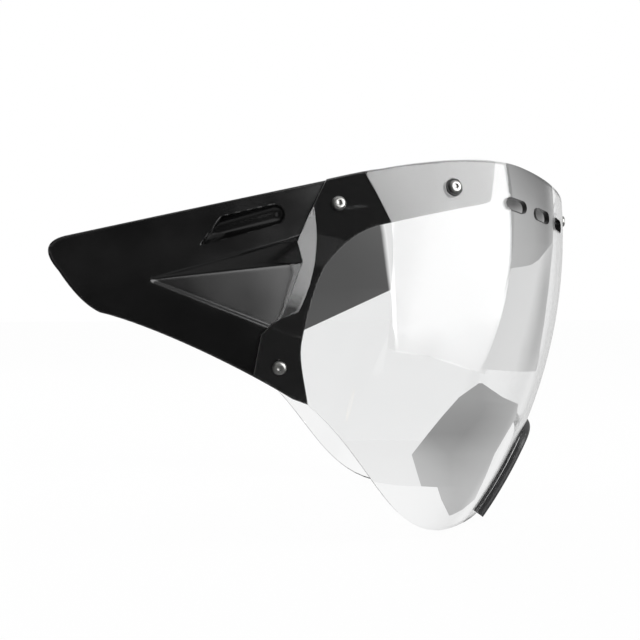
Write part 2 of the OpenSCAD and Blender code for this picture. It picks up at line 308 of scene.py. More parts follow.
# %% [markdown]
# Clear polycarbonate is all transmission: what makes it read as a lens is its index of refraction, which
# sets the strength of the reflections, and a trace of gloss change where it has been wiped.

# %% The clear lens finish
clear_lens = moulded("clear_lens_finish", (0.985, 0.99, 0.99), (1.0, 1.0, 1.0), (0.0, 0.012), 700, 0.0,
                     Transmission_Weight=1.0, IOR=1.585)

# %% [markdown]
# ## Outlines
# The lens and the arms are cut to outlines that are read from the side. The curves repeat the ones that
# the solid model is drawn from, so the dressed pieces sit exactly where their solids do.

# %% Side outlines
PEAK_Y = -0.42 * HALF_W
JOINT = (44.0, BROW_TOP - 26.7)
REAR_CORNER = (58.0, -47.7)
TIP = (33.4, -56.0)
LOBE = (-0.42 * HALF_W, -CHIN)
NOSE_END = (-0.76 * HALF_W, 8 - CHIN)
FRONT_Y = -HALF_W - 10


def top_z(y):
    """Level of the lens's top edge."""
    if y < PEAK_Y:
        return BROW_TOP - BROW_DIP * ((PEAK_Y - y) / (HALF_W + PEAK_Y)) ** 2
    return BROW_TOP - (BROW_TOP - JOINT[1]) * ((y - PEAK_Y) / (JOINT[0] - PEAK_Y)) ** 1.52


def plus(p, y, z):
    """The side-view point p, moved by y and z."""
    return (p[0] + y, p[1] + z)


def between(a, b, u, v):
    """The point that lies from a toward b by share u across and share v up."""
    return (a[0] + (b[0] - a[0]) * u, a[1] + (b[1] - a[1]) * v)


def bez(a, b, c, d, n=16):
    """Points of the curve from a to d that b and c pull on, without its last point."""
    curve = []
    for i in range(n):
        t, s = i / n, 1 - i / n
        shares = (s ** 3, 3 * s * s * t, 3 * s * t * t, t ** 3)
        curve.append(tuple(sum(share * spot[k] for share, spot in zip(shares, (a, b, c, d))) for k in (0, 1)))
    return curve


def top_edge(start, end, drop, n=40):
    """Points of the lens's top edge, lowered by drop."""
    steps = [start + (end - start) * i / n for i in range(n + 1)]
    return [(y, top_z(y) - drop) for y in steps]


lens_side = [(FRONT_Y, top_z(-HALF_W))] + top_edge(-HALF_W, JOINT[0], 0) + [
    (48.3, 21.8), (51.1, 9.3), (47.5, 1.5), (48.9, -6.8), (50.9, -19.9), (52.3, -23.5), (55.2, -25.8),
    plus(REAR_CORNER, 0.3, 16.7), REAR_CORNER, plus(REAR_CORNER, -11.6, -4.6)]
lens_side += bez(TIP, between(TIP, LOBE, 0.42, 0.36), between(TIP, LOBE, 0.62, 1), LOBE)
lens_side += bez(LOBE, plus(LOBE, -10, 0), plus(NOSE_END, 13, -3), NOSE_END)
lens_side += [NOSE_END, (FRONT_Y, NOSE_END[1] + 3)]

BAND_END = -0.3 * HALF_W
BAND_W, EDGE_IN, ARM_REACH = 18.6, 0.1, 96.5
ARM_END = (JOINT[0] + ARM_REACH, JOINT[1] - EDGE_IN - 0.449 * ARM_REACH)
ARM_LOW = plus(ARM_END, 1.4, -14.6)
HEEL = plus(ARM_END, -17.2, -27.8)
KNEE = (41.2, -29.5)
ARM_TIP = (34.2, -57.2)
BAND_ROOT = (16.2, 24.0)
band_low = top_z(BAND_END) - BAND_W
arm_side = top_edge(BAND_END, JOINT[0], EDGE_IN)
arm_side += bez(ARM_END, plus(ARM_END, 8.5, -3.5), plus(ARM_END, 9, -8.5), ARM_LOW)
arm_side += bez(ARM_LOW, plus(ARM_LOW, -4.4, -4.6), plus(HEEL, 7.5, 2), HEEL)
arm_side += bez(HEEL, plus(HEEL, -19.3, -0.8), plus(ARM_TIP, 28.2, 11.6), ARM_TIP)
arm_side += bez(plus(ARM_TIP, -1.3, 1), plus(ARM_TIP, 2.3, 10.7), plus(KNEE, 0.3, -8), KNEE)
arm_side += bez(KNEE, plus(KNEE, -1, 23.5), plus(BAND_ROOT, 21.3, -8.5), BAND_ROOT)
arm_side += bez(BAND_ROOT, (3, 29.9), (-13, 36.8), (BAND_END + 3.5, band_low - 1.5))
arm_side += bez((BAND_END + 3.5, band_low - 1.5), (BAND_END + 1.6, band_low - 0.6),
                (BAND_END, band_low + 0.4), (BAND_END - 0.3, band_low + 2.6), 6)
print("outline points:", len(lens_side), "lens,", len(arm_side), "arm")

# %% [markdown]
# ## Places on the lens
# Screws and vents are set out by an angle from the front and a level. `at_place` gives the matrix whose
# local Z stands out of the lens there and whose local Y runs level along it.

# %% Places
PLATE_PLACES = [(90, 37.4, 28.2), (90, 48.4, -43)]
BROW_PLACE = (83.6, 0, 45.7)
CENTRE_PLACE = (16, 0, 53.8)
SLOT_FIRST, SLOT_PITCH, SLOT_LEVEL = 62.8, 12.7, 46


def ring_r(z, depth=0.0):
    """Radius about the lens axis at level z, at a depth below the outer face."""
    return HALF_W - BULGE + math.sqrt((BULGE - depth) ** 2 - z * z)


def at_place(place):
    angle, y, z = place
    turn = math.radians(angle)
    return (Matrix.Translation((-ring_r(z) * math.sin(turn), y - ring_r(z) * math.cos(turn), z))
            @ Matrix.Rotation(math.radians(270 - angle), 4, "Z")
            @ Matrix.Rotation(math.pi / 2 - math.asin(z / BULGE), 4, "Y"))


# %% [markdown]
# ## The lens
# The real lens is one sheet, curved both ways. By hand that is an arc, spun half a turn about the lens's
# axis and carried straight back along both sides, then given its wall. The outline, the nose arch, the
# vents and the screw holes are cut out of it at the end, so the curve itself stays perfectly even and
# reflections run smoothly across it.

# %% The curved sheet
SHEET_LOW, SHEET_HIGH = -114, 72
SIDE_STEPS, SIDE_STEP = 18, 4
bpy.ops.object.select_all(action="DESELECT")
bpy.ops.mesh.primitive_circle_add(vertices=420, radius=BULGE, location=(HALF_W - BULGE, 0, 0),
                                  rotation=(math.pi / 2, 0, 0))
lens = bpy.context.object
lens.name = "lens_sheet"
settle()
bpy.ops.object.mode_set(mode="EDIT")
mesh = bmesh.from_edit_mesh(lens.data)
for vert in mesh.verts:
    vert.select = vert.co.x < 0 or not SHEET_LOW < vert.co.z < SHEET_HIGH
mesh.select_flush(True)
bpy.ops.mesh.delete(type="VERT")
bpy.ops.mesh.select_all(action="SELECT")
bpy.ops.mesh.spin(steps=110, angle=math.pi, center=(0, 0, 0), axis=(0, 0, 1))
mesh = opened(lens, "EDGE")
for edge in mesh.edges:
    edge.select = all(abs(vert.co.y) < 1e-3 for vert in edge.verts)
mesh.select_flush_mode()
for i in range(SIDE_STEPS):
    bpy.ops.mesh.extrude_edges_move(TRANSFORM_OT_translate={"value": (0, SIDE_STEP, 0)})
bpy.ops.object.mode_set(mode="OBJECT")
point_out(lens)
side_face = max(lens.data.polygons, key=lambda face: face.center.x)
if side_face.normal.x < 0:
    lens.data.flip_normals()
apply_modifier(lens, "SOLIDIFY", thickness=LENS_T, offset=-1, use_even_offset=True)
lens.data.materials.append(clear_lens)
print("sheet faces:", len(lens.data.polygons))

# %% [markdown]
# The cutters are prisms and one vent, each carrying the colour that its cut should have: the sawn edge of
# clear plastic is frosted, and its grey is partly painted shade for the dark that the edge shows; the walls of
# the short vents are near black, which is painted shade for the dark that their clear walls show. The vent is
# a cylinder pulled apart into a rounded slot, made once and copied.

# %% The lens's cutters
WIDE = HALF_W + 20
blank = outline_solid("lens_outline", [(-WIDE, y, z) for y, z in lens_side], (2 * WIDE, 0, 0), cut_edge)
carve(lens, blank, "INTERSECT")

ARCH_W, ARCH_H, ARCH_LEVEL = 37, 11.5, 62


def arch_points(grow, steps=48):
    """The nose arch in front view, grown by a width."""
    points = [(-ARCH_W - grow + 1, -CHIN - 20)]
    for i in range(steps + 1):
        turn = math.pi * (1 - i / steps)
        points.append(((ARCH_W + grow) * math.cos(turn), (ARCH_H + grow) * math.sin(turn) - ARCH_LEVEL))
    return points + [(ARCH_W + grow - 1, -CHIN - 20)]


arch_cut = outline_solid("arch_cut", [(x, 0, z) for x, z in arch_points(0)], (0, -WIDE, 0), cut_edge)

VENT_L, VENT_H, VENT_N, THROUGH = 13.8, 5.7, 3, 12
vent = cylinder(VENT_H / 2, THROUGH, vertices=40)
# Near black on the vent walls is painted shade.
vent.data.materials.append(vent_wall_painted_shade)
for vert in vent.data.vertices:
    vert.co.y += math.copysign((VENT_L - VENT_H) / 2, vert.co.y)
cutters = [arch_cut]
for side in (1, -1):
    for i in range(VENT_N):
        copy = own_copy(vent)
        copy.matrix_world = at_place((SLOT_FIRST - i * SLOT_PITCH, 0, SLOT_LEVEL))
        set_down(copy, Matrix.Scale(side, 4, (1, 0, 0)))
        point_out(copy)
        cutters.append(copy)
bpy.data.objects.remove(vent)


def drill(place, radius, depth, side, material=None):
    """A drill at a place on the lens: it enters from outside and stops at depth below the outer face."""
    bit = cylinder(radius, depth + 4, (0, 0, 2 - depth / 2))
    if material:
        bit.data.materials.append(material)
    set_down(bit, Matrix.Scale(side, 4, (1, 0, 0)) @ at_place(place))
    point_out(bit)
    return bit


SHANK_R, HEAD_R, HEAD_H, WASHER_R, WASHER_T, SEAT, PLAY = 1.5, 2.85, 1.65, 3.7, 0.8, 0.35, 0.2
for side in (1, -1):
    for place in PLATE_PLACES + [BROW_PLACE, CENTRE_PLACE]:
        cutters.append(drill(place, SHANK_R + PLAY, LENS_T + 2, side, cut_edge))
        seat_r = HEAD_R if place in PLATE_PLACES else WASHER_R
        cutters.append(drill(place, seat_r + PLAY, SEAT, side, cut_edge))

# %% [markdown]
# Behind the duct the rear edge of the lens is planed to a flat facet. It catches the light from behind as
# a pale crescent, so it is cut with a crisp plane.

# %% The facets, and all cuts at once
BEVEL, BEVEL_Y, WEDGE_T = math.radians(14.8), 42.8, 20
FACET_SIDE = ((-2, -16), (20, -30), (20, 32), (-2, 32))
for side in (1, -1):
    wedge = outline_solid("facet_cut", [(-WEDGE_T, y, z) for y, z in FACET_SIDE], (WEDGE_T, 0, 0), clear_lens)
    set_down(wedge, Matrix.Scale(side, 4, (1, 0, 0)) @ Matrix.Translation((-HALF_W, BEVEL_Y, 0))
             @ Matrix.Rotation(-BEVEL, 4, "Z"))
    point_out(wedge)
    cutters.append(wedge)
for cutter in cutters:
    carve(lens, cutter)
set_down(lens)
shade(lens, 12)
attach(lens, "visor")
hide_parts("lens")
print("lens faces:", len(lens.data.polygons), [m.name for m in lens.data.materials])

# %% [markdown]
# ## The side arms
# An arm is a thin moulding that follows the lens. It starts as a flat slab of fine quads in side view, cut
# to its outline while it is flat, so the edge is exact. Then it is worked like a clay relief: each vertex
# is laid on the curve of the lens, and pressed in by the depth of the duct, the scoop and the pocket there.
# Boolean cuts would leave hard edges where the real moulding has soft ones, so the relief is a smooth
# function of the place, with its own rounding on each edge.

# %% Rounded relief


def smooth_min(a, b, radius):
    """The smaller value, with the crease where they meet rounded over."""
    near = np.clip(radius - abs(a - b), 0, None) / radius
    return np.minimum(a, b) - near * near * radius / 4


def smooth_max(a, b, radius):
    """The larger value, rounded likewise."""
    return -smooth_min(-a, -b, radius)


def ramp(x, start, end):
    """0 at start, 1 at end, and eased between them."""
    t = np.clip((x - start) / (end - start), 0, 1)
    return t * t * (3 - 2 * t)


def slope_through(*points):
    """Coefficients of depth = c0 + c1 y + c2 z through three (y, z, depth) points."""
    rows = [(1, y, z) for y, z, depth in points]
    return np.linalg.solve(np.array(rows, float), np.array([p[2] for p in points], float))


DUCT_APEX, DUCT_TOP, DUCT_LOW, DUCT_FOLD = (108, -17.8), (49, 12.2), (56.5, -27.2), (46, 1.8)
upper = slope_through((*DUCT_APEX, 0), (*DUCT_TOP, 0), (*DUCT_FOLD, DUCT_DEPTH))
lower = slope_through((*DUCT_APEX, 0), (*DUCT_LOW, 0), (*DUCT_FOLD, DUCT_DEPTH))
LIP_D, LIP_END = 0.7, 105.5


def inside_line(start, end, y, z):
    """How far a place lies on the inner side of the line from start to end."""
    dy, dz = end[0] - start[0], end[1] - start[1]
    return ((y - start[0]) * dz - (z - start[1]) * dy) / math.hypot(dy, dz)


def duct(y, z):
    """Depth of the duct: two planes in a small lip, which meet in a fold and run on under the lens."""
    held = np.maximum(y, DUCT_FOLD[0])
    top = smooth_max(upper[0] + upper[1] * held + upper[2] * z, 0, 0.5)
    floor = smooth_max(lower[0] + lower[1] * held + lower[2] * z, 0, 0.6)
    above_low = inside_line(DUCT_APEX, DUCT_LOW, held, z)
    below_top = inside_line(DUCT_TOP, DUCT_APEX, held, z)
    within = np.minimum(np.minimum(above_low, below_top), LIP_END - y)
    return smooth_min(top, floor, 1.0) + LIP_D * ramp(within, -0.3, 0.9)


SCOOP_REAR, SCOOP_FRONT = np.array((86.6, 6.4)), np.array((59.2, 19.8))
SCOOP_HALF, SCOOP_TAPER, SCOOP_D, SCOOP_RISE = 4.6, 0.6, 4.6, 1.8
SCOOP_NOSE, SCOOP_OVER, SCOOP_SLANT = 4.2, 3.5, 1.25


def scoop(y, z):
    """Depth of the scoop: a round-bottomed groove, cut off aslant at its rear, running out in front."""
    way = SCOOP_FRONT - SCOOP_REAR
    length = np.hypot(*way)
    way = way / length
    along = (y - SCOOP_REAR[0]) * way[0] + (z - SCOOP_REAR[1]) * way[1]
    across = (y - SCOOP_REAR[0]) * way[1] - (z - SCOOP_REAR[1]) * way[0]
    t = np.clip(along / length, 0, 1)
    end = np.clip(along - length + SCOOP_OVER, 0, None)
    half = SCOOP_HALF - SCOOP_TAPER * t
    gone = np.clip(1 - (across / half) ** 2 - (end / SCOOP_NOSE) ** 2, 0, None)
    rear = ramp(along - SCOOP_SLANT * across - 0.6, -0.6, 0.6)
    return (SCOOP_D - SCOOP_RISE * t) * gone ** 0.6 * rear


POCKET_MID, POCKET_TURN, POCKET_D = (31.2, 31.6), math.radians(21), 0.9
POCKET_LONG, POCKET_WIDE = (5.2, 4.6), (3.8, 3.2)


def pocket(y, z):
    """Depth of the small flat pocket under the lens, whose walls stand between two half sizes."""
    c, s = math.cos(POCKET_TURN), math.sin(POCKET_TURN)
    u = (y - POCKET_MID[0]) * c - (z - POCKET_MID[1]) * s
    v = (y - POCKET_MID[0]) * s + (z - POCKET_MID[1]) * c
    return POCKET_D * ramp(abs(u), *POCKET_LONG) * ramp(abs(v), *POCKET_WIDE)


# %% The slab, cut flat to the arm's outline
ARM_Y, ARM_Z, STEP = (-34, 152), (-60, 66), 0.6
SCOOP_Y, SCOOP_Z = (55, 93), (0, 27)
bpy.ops.object.select_all(action="DESELECT")
bpy.ops.mesh.primitive_grid_add(x_subdivisions=round((ARM_Y[1] - ARM_Y[0]) / STEP),
                                y_subdivisions=round((ARM_Z[1] - ARM_Z[0]) / STEP), size=1)
arm = bpy.context.object
arm.name = "side_arm_right"
for vert in arm.data.vertices:
    share_y, share_z = vert.co.x + 0.5, vert.co.y + 0.5
    vert.co = (0, ARM_Y[0] + share_y * (ARM_Y[1] - ARM_Y[0]), ARM_Z[0] + share_z * (ARM_Z[1] - ARM_Z[0]))
bpy.ops.object.mode_set(mode="EDIT")
bpy.ops.mesh.select_all(action="SELECT")
bpy.ops.mesh.extrude_region_move(TRANSFORM_OT_translate={"value": (1, 0, 0)})
close_outward()
mesh = opened(arm, "FACE")
for face in mesh.faces:
    middle = face.calc_center_median()
    near_scoop = SCOOP_Y[0] < middle.y < SCOOP_Y[1] and SCOOP_Z[0] < middle.z < SCOOP_Z[1]
    face.select = middle.x < 0.1 and near_scoop
bpy.ops.mesh.subdivide(number_cuts=1)
bpy.ops.object.mode_set(mode="OBJECT")
blank = outline_solid("arm_outline", [(-3, y, z) for y, z in arm_side], (7, 0, 0))
carve(arm, blank, "INTERSECT")
print("slab faces:", len(arm.data.polygons))

# %% [markdown]
# Laying the slab on the lens: the outer side goes to the depth of the gap, the inner side one wall deeper.
# Along the outline both sides are rolled over by the edge radius of the moulding.

# %% The slab laid on the curve and pressed into relief
EDGE_R = 0.7
flat = np.empty(len(arm.data.vertices) * 3)
arm.data.vertices.foreach_get("co", flat)
flat = flat.reshape(-1, 3)
inner, y, z = flat[:, 0] > 0.5, flat[:, 1], flat[:, 2]
edge = np.full(len(y), EDGE_R)
ring = np.array(arm_side + arm_side[:1])
for (y0, z0), (y1, z1) in zip(ring[:-1], ring[1:]):
    dy, dz = y1 - y0, z1 - z0
    t = np.clip(((y - y0) * dy + (z - z0) * dz) / (dy * dy + dz * dz), 0, 1)
    edge = np.minimum(edge, np.hypot(y - y0 - t * dy, z - z0 - t * dz))
roll = EDGE_R - np.sqrt(np.clip(EDGE_R ** 2 - (EDGE_R - edge) ** 2, 0, None))
pressed = smooth_max(duct(y, z), scoop(y, z), 0.3) + pocket(y, z) * ~inner
depth = LENS_T + GAP + pressed + np.where(inner, ARM_T - roll, roll)
ring_x = HALF_W - BULGE + np.sqrt((BULGE - depth) ** 2 - z ** 2)
x = -np.sqrt(ring_x ** 2 - np.minimum(y, 0) ** 2)
arm.data.vertices.foreach_set("co", np.column_stack((x, y, z)).ravel())
arm.data.update()
point_out(arm)

# %% [markdown]
# Inside the arm stand a flat pad and a round boss that the hub turns on. They are cylinders with a bevelled
# rim, merged with the wall, and the three screw holes and the insert's hole are drilled last.

# %% Pad, boss and holes
PIVOT_Y, PIVOT_Z, PAD_FACE, BOSS_END = 118, -16, 91.6, 86.6
PAD_R, BOSS_R, INSERT_R = 15.5, 6.5, 2.25


def turned(name, radius, low, high, rim, vertices=96):
    """A round piece about the pivot, from x = -high to x = -low, with its inner rim bevelled."""
    piece = cylinder(radius, high - low, (-(high + low) / 2, PIVOT_Y, PIVOT_Z), vertices, (0, math.pi / 2, 0))
    piece.name = name
    settle()
    mesh = opened(piece, "EDGE")
    for rim_edge in mesh.edges:
        rim_edge.select = all(abs(vert.co.x + low) < 1e-4 for vert in rim_edge.verts)
    mesh.select_flush_mode()
    bpy.ops.mesh.bevel(offset=rim, segments=3)
    bpy.ops.object.mode_set(mode="OBJECT")
    return piece


carve(arm, turned("pad", PAD_R, PAD_FACE, HALF_W - LENS_T - GAP - ARM_T / 2 - 0.6, 0.5), "UNION")
carve(arm, turned("boss", BOSS_R, BOSS_END, PAD_FACE + 1, 0.4), "UNION")
carve(arm, turned("insert_hole", INSERT_R, BOSS_END - 2, BOSS_END + 5, 0.1, 48))
for place in PLATE_PLACES + [BROW_PLACE]:
    carve(arm, drill(place, SHANK_R + PLAY, THROUGH, 1))
arm.data.materials.clear()
arm.data.materials.append(black_plastic)
point_out(arm)
twin = mirrored(arm, "side_arm_left")
for piece, node in ((arm, "right_arm"), (twin, "left_arm")):
    set_down(piece)
    shade(piece, 40)
    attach(piece, "visor")
    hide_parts(node)
print("arm triangles:", sum(len(face.vertices) - 2 for face in arm.data.polygons))

# %% [markdown]
# ## Nose trim
# A fat round rubber bead is bonded to the outer face along the edge of the nose arch. By hand one would
# extrude its section along the edge. Each step of the extrusion is turned to the lens: one side of the
# section's frame points out of the lens, the other along its sheet, away from the arch.

# %% The section and its way along the arch
TRIM_BEAD, TRIM_W, TRIM_BOND, FLANK = 3.6, 4.2, 0.12, 0.38
half_t, half_w = LENS_T / 2, TRIM_W / 2
section = [(TRIM_W, half_t + TRIM_BOND)]
for i in range(15):
    turn = math.pi * i / 14
    rise = FLANK + (1 - FLANK) * math.sin(turn)
    section.append((half_w + half_w * math.cos(turn), half_t + TRIM_BEAD * rise))
section.append((0, half_t + TRIM_BOND))


def on_sheet(x, z):
    """The point at (x, z) on the middle of the lens's wall, and the way out of the lens there."""
    radius = ring_r(z, half_t)
    spot = Vector((x, -math.sqrt(radius ** 2 - x ** 2), z))
    level = Vector((spot.x, spot.y, 0)).normalized()
    out = level * math.sqrt(1 - (z / BULGE) ** 2) + Vector((0, 0, z / BULGE))
    return spot, out.normalized()


LEG_END, LEG_LEAN, LEG_STEPS = -97.4, 0.6, 14
way = []
for i in range(LEG_STEPS):
    share = i / LEG_STEPS
    way.append((-ARCH_W + LEG_LEAN * (1 - share), LEG_END - (ARCH_LEVEL + LEG_END) * share))
way += arch_points(0, 60)[1:-1]
way += [(-x, z) for x, z in reversed(way[:LEG_STEPS])]
stations = [on_sheet(x, z) for x, z in way]
print("steps along the arch:", len(stations))
rings = []
for i, (spot, out) in enumerate(stations):
    ahead = (stations[min(i + 1, len(way) - 1)][0] - stations[max(i - 1, 0)][0]).normalized()
    into = out.cross(ahead).normalized()
    rings.append([spot + into * u + out * v for u, v in section])

# %% The trim, extruded ring by ring
bpy.ops.object.select_all(action="DESELECT")
bpy.ops.mesh.primitive_circle_add(vertices=len(section), radius=1, fill_type="NGON")
trim = bpy.context.object
trim.name = "nose_trim_bead"
for vert, spot in zip(trim.data.vertices, rings[0]):
    vert.co = spot
bpy.ops.object.mode_set(mode="EDIT")
bpy.ops.mesh.select_all(action="SELECT")
for before, after in zip(rings[:-1], rings[1:]):
    bpy.ops.mesh.extrude_region_move()
    mesh = bmesh.from_edit_mesh(trim.data)
    for vert in mesh.verts:
        if vert.select:
            nearest = min(range(len(before)), key=lambda k: (before[k] - vert.co).length_squared)
            vert.co = after[nearest]
    bmesh.update_edit_mesh(trim.data)
bpy.ops.object.mode_set(mode="OBJECT")
point_out(trim)
trim.data.materials.append(black_rubber)
set_down(trim)
shade(trim, 50)
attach(trim, "visor")
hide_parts("nose_trim")
print("trim faces:", len(trim.data.polygons))

# %% [markdown]
# ## Screws and washers
# The screws have low button heads with a hexagon socket. One is turned from a cylinder: the top edge is
# bevelled into a dome, the shank is extruded from the underside, and the socket is cut into the top with a
# hexagonal prism. The copies take their places from the same list as the holes.

# %% One button-head screw
SOCKET_R = 2 / math.sqrt(3)
DOME, BRIM = 1.15, 0.07


def flat_face(mesh, level):
    """Selects only the faces that lie flat at this level."""
    for face in mesh.faces:
        face.select = abs(face.normal.z) > 0.99 and abs(face.calc_center_median().z - level) < 1e-3
    mesh.select_flush_mode()


def button_screw(shank):
    """A button-head screw whose head stands on level 0, with its shank below."""
    screw = cylinder(HEAD_R, HEAD_H, (0, 0, HEAD_H / 2))
    settle()
    mesh = opened(screw, "EDGE")
    for rim_edge in mesh.edges:
        rim_edge.select = all(vert.co.z > HEAD_H - 1e-4 for vert in rim_edge.verts)
    mesh.select_flush_mode()
    bpy.ops.mesh.bevel(offset=DOME, segments=6, profile=0.5)
    bpy.ops.mesh.select_mode(type="FACE")
    mesh = bmesh.from_edit_mesh(screw.data)
    flat_face(mesh, 0)
    bpy.ops.mesh.inset(thickness=HEAD_R - SHANK_R)
    bpy.ops.mesh.extrude_region_move(TRANSFORM_OT_translate={"value": (0, 0, -shank)})
    close_outward()
    carve(screw, cylinder(SOCKET_R, HEAD_H, (0, 0, HEAD_H / 3 + HEAD_H / 2), vertices=6))
    apply_modifier(screw, "BEVEL", width=BRIM, segments=2, limit_method="ANGLE", angle_limit=math.radians(40))
    screw.data.materials.clear()
    screw.data.materials.append(steel)
    point_out(screw)
    return screw


NUT_T, BUMPER_L, HEAD_TURN = 2.4, 6, 25
INNER = LENS_T + GAP + ARM_T
NUTTED = INNER + NUT_T - 2 * SEAT
SCREW_ROWS = (
    ("plate_screw_pair", ("right_plate_screws", "left_plate_screws"), PLATE_PLACES, NUTTED, -SEAT),
    ("brow_screw_one", ("right_brow_screw", "left_brow_screw"), [BROW_PLACE],
     NUTTED + WASHER_T, WASHER_T - SEAT))


def placed(model, place, height, side, turn):
    """A copy of a screw or washer at a place on the lens, at a height over its face."""
    copy = own_copy(model)
    copy.matrix_world = Matrix.Identity(4)
    spot = at_place(place) @ Matrix.Translation((0, 0, height)) @ Matrix.Rotation(math.radians(turn), 4, "Z")
    set_down(copy, WORN @ Matrix.Scale(side, 4, (1, 0, 0)) @ spot)
    point_out(copy)
    return copy


def finished(obj, name, node, finish, angle=35):
    """Names a finished piece, lets it ride where its CAD node rides, and puts it in that node's place."""
    obj.name = name
    obj.data.materials.clear()
    obj.data.materials.append(finish)
    shade(obj, angle)
    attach(obj, BODY_OF[node])
    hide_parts(node)


for name, nodes, places, shank, height in SCREW_ROWS:
    model = button_screw(shank)
    for side, node in zip((1, -1), nodes):
        heads = [placed(model, place, height, side, HEAD_TURN * i) for i, place in enumerate(places)]
        finished(joined(heads), f"{name}_{'right' if side == 1 else 'left'}", node, steel)
    bpy.data.objects.remove(model)
model = button_screw(LENS_T + GAP + BUMPER_L + WASHER_T - SEAT - 1)
finished(joined([placed(model, CENTRE_PLACE, WASHER_T - SEAT, side, 10) for side in (1, -1)]),
         "centre_screw_pair", "centre_screws", steel)
bpy.data.objects.remove(model)
print("screws placed")

# %% [markdown]
# The washers under the brow and centre screws are thin nylon rings. A ring is a cylinder whose ends are
# inset and bridged through, then its rims are softened.

# %% Nylon washers
washer = cylinder(WASHER_R, WASHER_T, (0, 0, WASHER_T / 2))
settle()
mesh = opened(washer, "FACE")
for face in mesh.faces:
    face.select = abs(face.normal.z) > 0.99
mesh.select_flush_mode()
bpy.ops.mesh.inset(thickness=WASHER_R - SHANK_R - PLAY)
bpy.ops.mesh.bridge_edge_loops()
bpy.ops.object.mode_set(mode="OBJECT")
apply_modifier(washer, "BEVEL", width=0.15, segments=2, limit_method="ANGLE", angle_limit=math.radians(50))
washer.data.materials.append(black_nylon)
rings = [placed(washer, place, -SEAT, side, 0) for side in (1, -1) for place in (BROW_PLACE, CENTRE_PLACE)]
bpy.data.objects.remove(washer)
finished(joined(rings), "nylon_washers", "brow_washers", black_nylon)

# %% [markdown]
# ## Small hidden pieces
# Hubs, rings, nuts, inserts and bumpers already have their true shapes in the solid model. Real ones have
# no razor edges, so each is copied from its CAD node, merged, and its sharp edges are bevelled.

# %% Softened copies of the CAD pieces
SOFTENED = {
    hub_plastic: (("right_hub", 0.4), ("left_hub", 0.4)),
    black_rubber: (("right_friction_ring", 0.12), ("left_friction_ring", 0.12), ("centre_bumpers", 0.6)),
    steel: (("right_pivot_washer", 0.12), ("left_pivot_washer", 0.12), ("right_pivot_screw", 0.08),
            ("left_pivot_screw", 0.08)),
    brass: (("right_pivot_insert", 0.1), ("left_pivot_insert", 0.1), ("right_plate_nuts", 0.2),
            ("left_plate_nuts", 0.2), ("right_brow_nut", 0.2), ("left_brow_nut", 0.2), ("centre_nuts", 0.2))}
for finish_of, nodes in SOFTENED.items():
    for node, width in nodes:
        copy = bpy.data.objects.new(f"{node}_soft", frame["nodes"][node].data.copy())
        bpy.context.collection.objects.link(copy)
        point_out(copy)
        apply_modifier(copy, "DECIMATE", decimate_type="DISSOLVE", angle_limit=math.radians(2))
        apply_modifier(copy, "BEVEL", width=width * MM, segments=3, limit_method="ANGLE",
                       angle_limit=math.radians(40))
        finished(copy, f"{node}_soft", node, finish_of)
print("softened:", sum(len(nodes) for nodes in SOFTENED.values()))

# %% [markdown]
# ## Studio
# The photograph is a cut-out on white with a soft glow in the clear lens. A pale floor and a white world
# give the ground. What the eye reads as the lens are reflections of a big soft box in front and to the
# right of the wearer, and grey cards that are only seen through it. The soft boxes are placed by their
# direction from the visor. The cards are laid out through the camera: a corner is given by its place in the
# picture, and cast to where its card stands.

# %% Helpers for boxes and cards


def camera_ray(px, py):
    """The way from the camera through a point of the 640 by 640 picture."""
    reach = camera.data.lens / SENSOR
    return (camera_turn @ Vector((px / FRAME_PX - 0.5, 0.5 - py / FRAME_PX, -reach))).normalized()


def through(px, py, beyond):
    """The point seen at this place of the picture, on the plane x = beyond."""
    ray = camera_ray(px, py)
    return camera_spot + ray * ((beyond - camera_spot.x) / ray.x)


MIDDLE = Vector((0, 0, 0.1))


def toward(turn, rise, reach=6.0):
    """The point in a direction from the visor: degrees from -X toward -Y, and degrees up."""
    turn, rise = math.radians(turn), math.radians(rise)
    level = math.cos(rise)
    return MIDDLE + reach * Vector((-math.cos(turn) * level, -math.sin(turn) * level, math.sin(rise)))


def reckoner(tree, operation, second=0.5):
    """A node that reckons with its first value and a second one."""
    made = new_node(tree, "Math")
    made.operation = operation
    made.inputs[1].default_value = second
    return made


FAR_DEPTH = 2.5
card_glow = bpy.data.materials.new("card_glow")
card_glow.use_nodes = True
tree = card_glow.node_tree
tree.nodes.clear()
card_out = new_node(tree, "OutputMaterial")
card_light = new_node(tree, "Emission")
card_level = new_node(tree, "Attribute")
card_level.attribute_name = "level"
card_back = new_node(tree, "BsdfTransparent")
card_side = new_node(tree, "NewGeometry")
card_paths = new_node(tree, "LightPath")
card_far = reckoner(tree, "GREATER_THAN", FAR_DEPTH)
card_off = reckoner(tree, "MAXIMUM")
card_mix = new_node(tree, "MixShader")
wire(tree, (card_level.outputs["Fac"], card_light.inputs["Strength"]),
     (card_paths.outputs["Transmission Depth"], card_far.inputs[0]),
     (card_side.outputs["Backfacing"], card_off.inputs[0]), (card_far.outputs[0], card_off.inputs[1]),
     (card_off.outputs[0], card_mix.inputs[0]), (card_light.outputs[0], card_mix.inputs[1]),
     (card_back.outputs[0], card_mix.inputs[2]), (card_mix.outputs[0], card_out.inputs["Surface"]))


